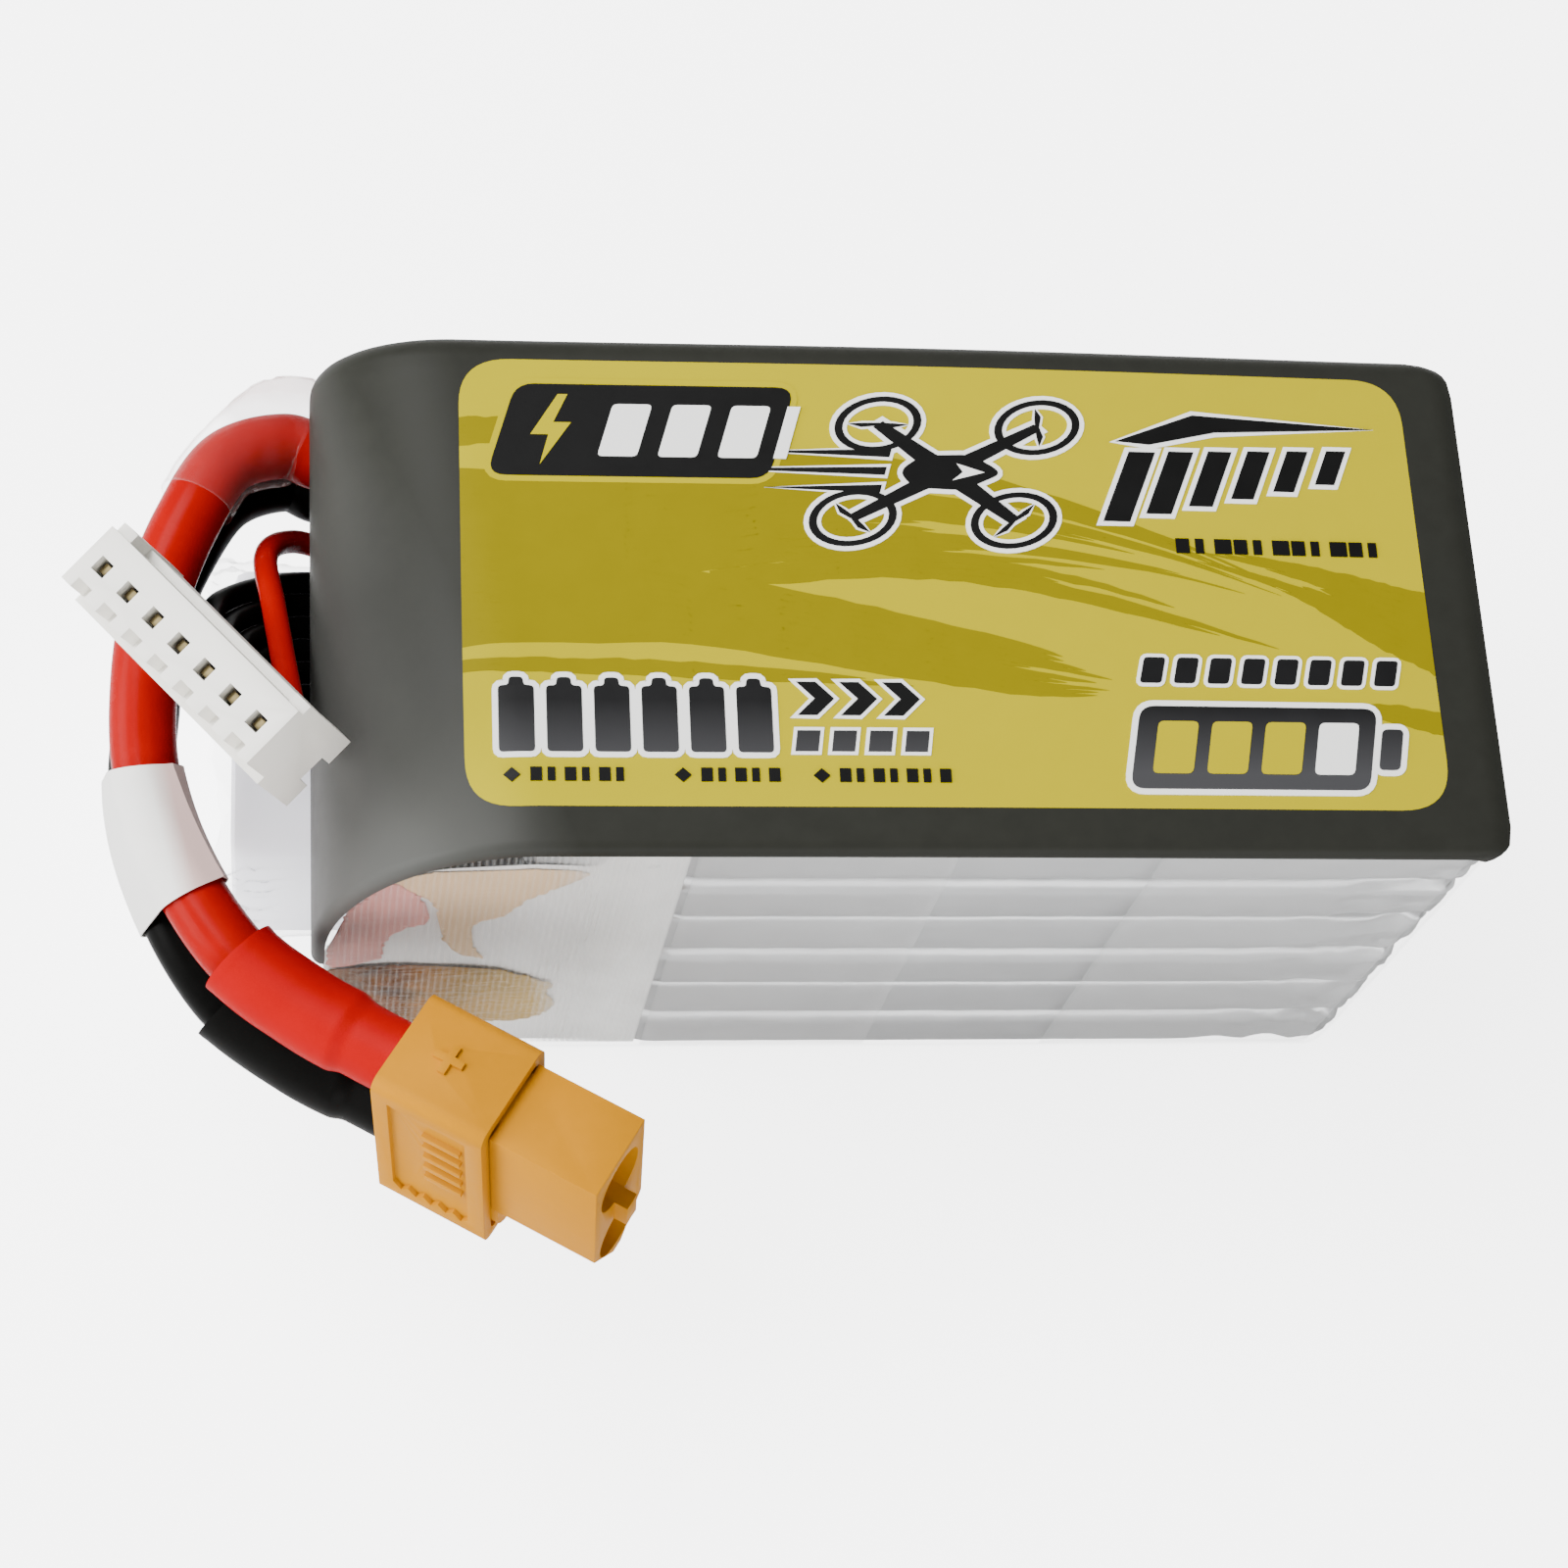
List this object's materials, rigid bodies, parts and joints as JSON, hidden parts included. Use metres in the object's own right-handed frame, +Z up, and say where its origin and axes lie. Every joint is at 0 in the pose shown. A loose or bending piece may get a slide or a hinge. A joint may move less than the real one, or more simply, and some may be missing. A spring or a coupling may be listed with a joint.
{
  "type": "lipo battery pack",
  "caption": "Stacked pouch-cell battery pack in clear film and a printed wrap, with a looped power lead to a yellow connector and a balance lead to an ivory connector.",
  "frame": {"origin": "middle of the flat base of the pack body, on the surface it rests on", "axes": "+Z up along the cell stack, out of the label face; -X the end the leads leave from; -Y the open side of the wrap"},
  "size_m": [0.0964, 0.0605, 0.0526],
  "materials": {
    "foil": "satin laminated foil",
    "pad": "thin double-sided foam tape",
    "nickel": "plain nickel strip",
    "board": "glass-fibre board",
    "cover": "white insulating block",
    "adhesive": "amber crinkled adhesive",
    "paper": "pale insulating paper",
    "tape": "translucent ribbed filament tape",
    "film": "clear shrink film",
    "label": "satin printed wrap with a yellow panel",
    "red_silicone": "satin silicone insulation",
    "black_silicone": "satin silicone insulation",
    "band": "white paper band",
    "red_shrink": "heat-shrink tube",
    "black_shrink": "heat-shrink tube",
    "plug_nylon": "moulded yellow nylon",
    "gold": "gold-plated",
    "ivory_nylon": "moulded ivory nylon",
    "tinned_brass": "plated crimp terminal"
  },
  "bodies": {
    "pack": {"cell_1": "foil", "cell_2": "foil", "cell_3": "foil", "cell_4": "foil", "cell_5": "foil", "cell_6": "foil", "cell_pad_1": "pad", "cell_pad_2": "pad", "cell_pad_3": "pad", "cell_pad_4": "pad", "cell_pad_5": "pad", "series_link_1": "nickel", "series_link_2": "nickel", "series_link_3": "nickel", "series_link_4": "nickel", "series_link_5": "nickel", "negative_tab": "nickel", "positive_tab": "nickel", "terminal_board": "board", "terminal_cover": "cover", "adhesive_sheet": "adhesive", "paper_sheet": "paper", "filament_tape": "tape", "clear_sleeve": "film", "sleeve_mouth": "film", "label_wrap": "label", "red_wire_root": "red_silicone", "black_wire_root": "black_silicone"},
    "power_lead": {"red_wire_loop": "red_silicone", "black_wire_loop": "black_silicone", "lead_collar": "film"},
    "power_plug": {"red_wire_end": "red_silicone", "black_wire_end": "black_silicone", "wire_band": "band", "red_heat_shrink": "red_shrink", "black_heat_shrink": "black_shrink", "plug_housing": "plug_nylon", "plug_cap": "plug_nylon", "positive_contact": "gold", "negative_contact": "gold"},
    "balance_lead": {"balance_wire_1": "black_silicone", "balance_wire_2": "black_silicone", "balance_wire_3": "black_silicone", "balance_wire_4": "black_silicone", "balance_wire_5": "black_silicone", "balance_wire_6": "black_silicone", "balance_wire_7": "red_silicone"},
    "balance_plug": {"balance_terminal_1": "tinned_brass", "balance_terminal_2": "tinned_brass", "balance_terminal_3": "tinned_brass", "balance_terminal_4": "tinned_brass", "balance_terminal_5": "tinned_brass", "balance_terminal_6": "tinned_brass", "balance_terminal_7": "tinned_brass", "balance_housing": "ivory_nylon"}
  },
  "joints": [
    {"name": "power_root_swing", "type": "hinge", "parent": "pack", "child": "power_lead", "pos_m": [-0.0424, 0.0159, 0.031], "axis": [0, 0, 1], "range_deg": [-50, 0], "stiffness_Nm_per_rad": 0.02},
    {"name": "power_loop_bend", "type": "hinge", "parent": "power_lead", "child": "power_plug", "pos_m": [-0.0518, -0.0015, 0.0297], "axis": [0, 0, 1], "range_deg": [-50, 4], "stiffness_Nm_per_rad": 0.02},
    {"name": "balance_swing", "type": "hinge", "parent": "pack", "child": "balance_lead", "pos_m": [-0.0332, 0.0042, 0.0245], "axis": [1, 0, 0], "range_deg": [-9, 9], "stiffness_Nm_per_rad": 0.02},
    {"name": "balance_plug_tilt", "type": "hinge", "parent": "balance_lead", "child": "balance_plug", "pos_m": [-0.04572, -0.00609, 0.04099], "axis": [0.6535, -0.75, 0.1019], "range_deg": [-25, 25], "stiffness_Nm_per_rad": 0.01}
  ]
}
